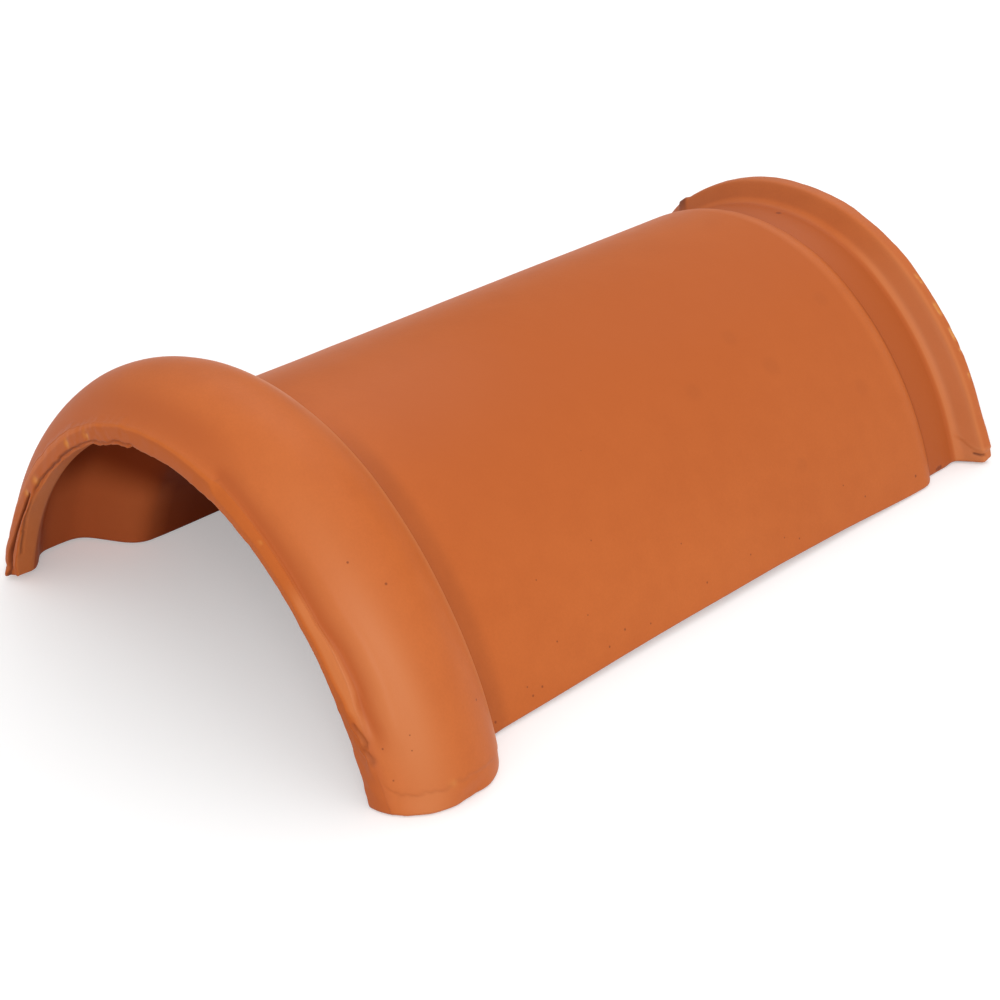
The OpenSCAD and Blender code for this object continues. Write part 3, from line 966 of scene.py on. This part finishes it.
def tile_mesh():
    """The fired tile's mesh: rows along the section, columns along the arch, and a cap on each foot."""
    rows = Rows()
    surface = Surface(rows, column_places())
    steps = (
        uneven_clay, lip_bevel, lip_groove, tone, lip_face, lip_crack, lip_tears, roll_foot, flange_marks,
    )
    for step in steps:
        step(surface)
    y, r = rows.y + surface.dy, rows.r + surface.dr
    x, z = arch(surface.t, y, r, FOOT_ROUND)
    left = foot_rings(rows, y[:, 0], r[:, 0], -1)
    right = foot_rings(rows, y[:, -1], r[:, -1], 1)
    grid = np.concatenate(left[::-1] + [np.stack([x, y, z], 2)] + right, 1)
    grid[:, :, 1] += FRONT
    index = np.arange(grid.shape[0] * grid.shape[1]).reshape(grid.shape[:2])
    after = np.roll(index, -1, 0)
    quads = np.stack([index[:, :-1], index[:, 1:], after[:, 1:], after[:, :-1]], 2).reshape(-1, 4)
    cap = np.array(foot_cap(rows))
    faces = quads.tolist() + index[cap, 0].tolist() + index[cap[:, ::-1], -1].tolist()
    mesh = bpy.data.meshes.new("ridge_tile_fired")
    mesh.from_pydata((grid.reshape(-1, 3) * MM).tolist(), [], faces)
    mesh.polygons.foreach_set("use_smooth", [True] * len(quads) + [False] * 2 * len(cap))
    for name, values in surface.masks.items():
        values = np.pad(np.clip(values, 0, 1), ((0, 0), (FOOT_STEPS, FOOT_STEPS)), mode="edge")
        mesh.attributes.new(name, "FLOAT", "POINT").data.foreach_set("value", values.ravel())
    return mesh


def place(t, y, r):
    """A place on the tile in metres, in the frame's coordinates."""
    x, z = arch(np.array(float(t)), np.array(float(y)), np.array(float(r)), 0.0)
    return (float(x) * MM, (y + FRONT) * MM, float(z) * MM)


def roll_radius(y):
    """Radius of the roll's outer face over the crown."""
    return ROLL_R - ROLL_RADIUS + math.sqrt(ROLL_RADIUS**2 - (y - ROLL_Y) ** 2)


def add_node(tree, kind, sockets=None, **settings):
    """A new node with these settings. A socket's value is a constant or another node's output."""
    node = tree.nodes.new(kind)
    for name, value in settings.items():
        setattr(node, name, value)
    for name, value in (sockets or {}).items():
        if isinstance(value, bpy.types.NodeSocket):
            tree.links.new(value, node.inputs[name])
        else:
            node.inputs[name].default_value = value
    return node


def terracotta():
    """Unglazed fired clay, with the mesh's masks as tones (mostly painted shade and highlights) and with
    pits and stains as round spots.
    """
    material = bpy.data.materials.new("terracotta")
    material.use_nodes = True
    tree = material.node_tree
    shader = tree.nodes["Principled BSDF"]
    where = add_node(tree, "ShaderNodeTexCoord").outputs["Object"]

    def noise(scale, detail, rough):
        sockets = {"Vector": where, "Scale": scale, "Detail": detail, "Roughness": rough}
        return add_node(tree, "ShaderNodeTexNoise", sockets).outputs["Fac"]

    def ramp(value, start, start_colour, end, end_colour):
        node = add_node(tree, "ShaderNodeValToRGB", {"Fac": value})
        first, last = node.color_ramp.elements
        first.position, last.position = start, end
        first.color, last.color = (*start_colour, 1), (*end_colour, 1)
        return node.outputs["Color"]

    def blend(factor, below, above, kind="MIX"):
        if not isinstance(above, bpy.types.NodeSocket):
            above = (*above, 1)
        sockets = {MIX_FACTOR: factor, MIX_A: below, MIX_B: above}
        node = add_node(tree, "ShaderNodeMix", sockets, data_type="RGBA", blend_type=kind)
        return node.outputs[MIX_RESULT]

    def mask(name):
        return add_node(tree, "ShaderNodeAttribute", attribute_name=name).outputs["Fac"]

    def calc(kind, a, b):
        return add_node(tree, "ShaderNodeMath", {0: a, 1: b}, operation=kind).outputs[0]

    def spots(places):
        """1 in round spots and 0 around them. A spot is told by its (t, y, r) and its radius."""
        found = None
        for t, y, r, size in places:
            centre = {0: where, 1: place(t, y, r)}
            far = add_node(tree, "ShaderNodeVectorMath", centre, operation="DISTANCE").outputs["Value"]
            limits = {"Value": far, "From Min": SPOT_CORE * size * MM, "From Max": size * MM}
            limits.update({"To Min": 1.0, "To Max": 0.0})
            node = add_node(tree, "ShaderNodeMapRange", limits, interpolation_type="SMOOTHSTEP")
            spot = node.outputs["Result"]
            found = spot if found is None else calc("MAXIMUM", found, spot)
        return found

    pits = spots(
        [(t, y, CROWN_R, size) for t, y, size in BODY_PITS]
        + [(t, y, roll_radius(y), size) for t, y, size in ROLL_PITS]
        + [(t, y, NECK_R, size) for t, y, size in NECK_PITS]
    )
    stains = spots([(t, y, CROWN_R, size) for t, y, size in STAINS])

    colour = ramp(noise(*CLOUD_NOISE), *CLOUDS)
    colour = blend(1.0, colour, ramp(noise(*GRAIN_NOISE), *GRAIN), "MULTIPLY")
    colour = blend(1.0, colour, ramp(noise(*MOTTLE_NOISE), *MOTTLE), "MULTIPLY")
    # Painted highlights
    colour = blend(mask("pale"), colour, HIGHLIGHT_PAINT)
    # Painted shade in the hollows
    colour = blend(mask("hollow"), colour, HOLLOW_SHADE)
    # Painted shade on the front face
    colour = blend(mask("front_shade"), colour, FRONT_SHADE_COLOUR)
    # Painted shade inside the arch, darker deeper in
    colour = blend(mask("inside"), colour, INSIDE_SHADE)
    colour = blend(mask("deep"), colour, DEEP_SHADE)
    colour = blend(calc("MULTIPLY", mask("fresh"), FRESH_COVER), colour, FRESH_CLAY)
    # Painted shade in cracks, gaps, grooves and creases, and along the neck and flange
    colour = blend(calc("MULTIPLY", mask("painted_shade"), SHADE_COVER), colour, SHADE_AND_STAIN)
    colour = blend(calc("MULTIPLY", stains, STAIN_COVER), colour, SHADE_AND_STAIN)
    # Painted shade in the pits
    colour = blend(calc("MULTIPLY", pits, PIT_SHADE_COVER), colour, PIT_SHADE)
    tree.links.new(colour, shader.inputs["Base Color"])
    shader.inputs["Roughness"].default_value = ROUGHNESS
    limits = {"Value": mask("matt"), "To Min": SHEEN, "To Max": MATT_SHEEN}
    sheen = add_node(tree, "ShaderNodeMapRange", limits).outputs["Result"]
    tree.links.new(sheen, shader.inputs["Specular IOR Level"])
    height = calc("SUBTRACT", noise(*BUMP_NOISE), calc("MULTIPLY", pits, PIT_BUMP))
    relief = {"Strength": BUMP_STRENGTH, "Distance": BUMP_DISTANCE, "Height": height}
    bump = add_node(tree, "ShaderNodeBump", relief).outputs["Normal"]
    tree.links.new(bump, shader.inputs["Normal"])
    return material


def seen_directly(tree):
    """1 for rays that show the background: from the camera, and mirrored or passed on to it."""
    path = add_node(tree, "ShaderNodeLightPath").outputs
    kinds = {0: path["Is Glossy Ray"], 1: path["Is Transmission Ray"]}
    passed_on = add_node(tree, "ShaderNodeMath", kinds, operation="MAXIMUM").outputs[0]
    kinds = {0: path["Is Camera Ray"], 1: passed_on}
    return add_node(tree, "ShaderNodeMath", kinds, operation="MAXIMUM").outputs[0]


def add_floor():
    """A pale floor that looks white where it is seen and keeps the tile's shadow."""
    half, level = FLOOR_HALF, FLOOR_LEVEL
    mesh = bpy.data.meshes.new("floor")
    corners = [(-half, -half, level), (half, -half, level), (half, half, level), (-half, half, level)]
    mesh.from_pydata(corners, [], [(0, 1, 2, 3)])
    floor = bpy.data.objects.new("floor", mesh)
    bpy.context.scene.collection.objects.link(floor)
    material = bpy.data.materials.new("pale_floor")
    material.use_nodes = True
    tree = material.node_tree
    tree.nodes.remove(tree.nodes["Principled BSDF"])
    shown = seen_directly(tree)
    pale = add_node(tree, "ShaderNodeBsdfDiffuse", {"Color": FLOOR_PALE}).outputs[0]
    light = {"Color": (*WHITE, 1), "Strength": FLOOR_GLOW}
    glow = add_node(tree, "ShaderNodeEmission", light).outputs[0]
    white = add_node(tree, "ShaderNodeAddShader", {0: pale, 1: glow}).outputs[0]
    bounce = add_node(tree, "ShaderNodeBsdfDiffuse", {"Color": FLOOR_BOUNCE}).outputs[0]
    mix = add_node(tree, "ShaderNodeMixShader", {0: shown, 1: bounce, 2: white}).outputs[0]
    tree.links.new(mix, tree.nodes["Material Output"].inputs["Surface"])
    mesh.materials.append(material)


def add_world():
    """Soft light from all round, dimmer from the low left."""
    world = bpy.data.worlds.new("studio")
    bpy.context.scene.world = world
    world.use_nodes = True
    tree = world.node_tree
    way = add_node(tree, "ShaderNodeTexCoord").outputs["Generated"]
    sides = {0: way, 1: DIM_SIDE}
    toward = add_node(tree, "ShaderNodeVectorMath", sides, operation="DOT_PRODUCT").outputs["Value"]
    limits = {"Value": toward, "From Min": DIM_START, "From Max": DIM_END}
    limits.update({"To Min": SKY_LEVEL, "To Max": DIM_LEVEL})
    level = add_node(tree, "ShaderNodeMapRange", limits, interpolation_type="SMOOTHSTEP").outputs["Result"]
    sky = tree.nodes["Background"]
    sky.inputs["Color"].default_value = (*WHITE, 1)
    tree.links.new(level, sky.inputs["Strength"])


def add_lamp(name, spot, size, power):
    """A round soft lamp that points at the tile."""
    lamp = bpy.data.lights.new(name, "AREA")
    lamp.shape = "DISK"
    lamp.size = size
    lamp.energy = power
    holder = bpy.data.objects.new(name, lamp)
    holder.location = spot
    holder.rotation_euler = (Vector(LAMP_TARGET) - Vector(spot)).to_track_quat("-Z", "Y").to_euler()
    bpy.context.scene.collection.objects.link(holder)


def add_camera():
    """The camera that was fitted to the photograph's outline."""
    azimuth, elevation = math.radians(CAMERA_AZIMUTH), math.radians(CAMERA_ELEVATION)
    roll = math.radians(CAMERA_ROLL)
    target = Vector(CAMERA_TARGET) * MM
    back = Vector((
        math.sin(azimuth) * math.cos(elevation),
        -math.cos(azimuth) * math.cos(elevation),
        math.sin(elevation),
    ))
    right = Vector((math.cos(azimuth), math.sin(azimuth), 0))
    up = back.cross(right)
    turned_right = right * math.cos(roll) + up * math.sin(roll)
    turned_up = up * math.cos(roll) - right * math.sin(roll)
    data = bpy.data.cameras.new("camera")
    data.sensor_width = SENSOR_WIDTH
    data.lens = LENS
    camera = bpy.data.objects.new("camera", data)
    turn = Matrix((turned_right, turned_up, back)).transposed().to_4x4()
    camera.matrix_world = Matrix.Translation(target + back * CAMERA_DISTANCE) @ turn
    bpy.context.scene.collection.objects.link(camera)
    bpy.context.scene.camera = camera


tile = bpy.data.objects.new("ridge_tile_fired", tile_mesh())
bpy.context.scene.collection.objects.link(tile)
tile.data.materials.append(terracotta())
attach(tile, "root")
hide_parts("ridge_tile")

add_floor()
add_world()
for lamp_values in LAMPS:
    add_lamp(*lamp_values)
add_camera()
bpy.context.scene.view_settings.view_transform = "Standard"
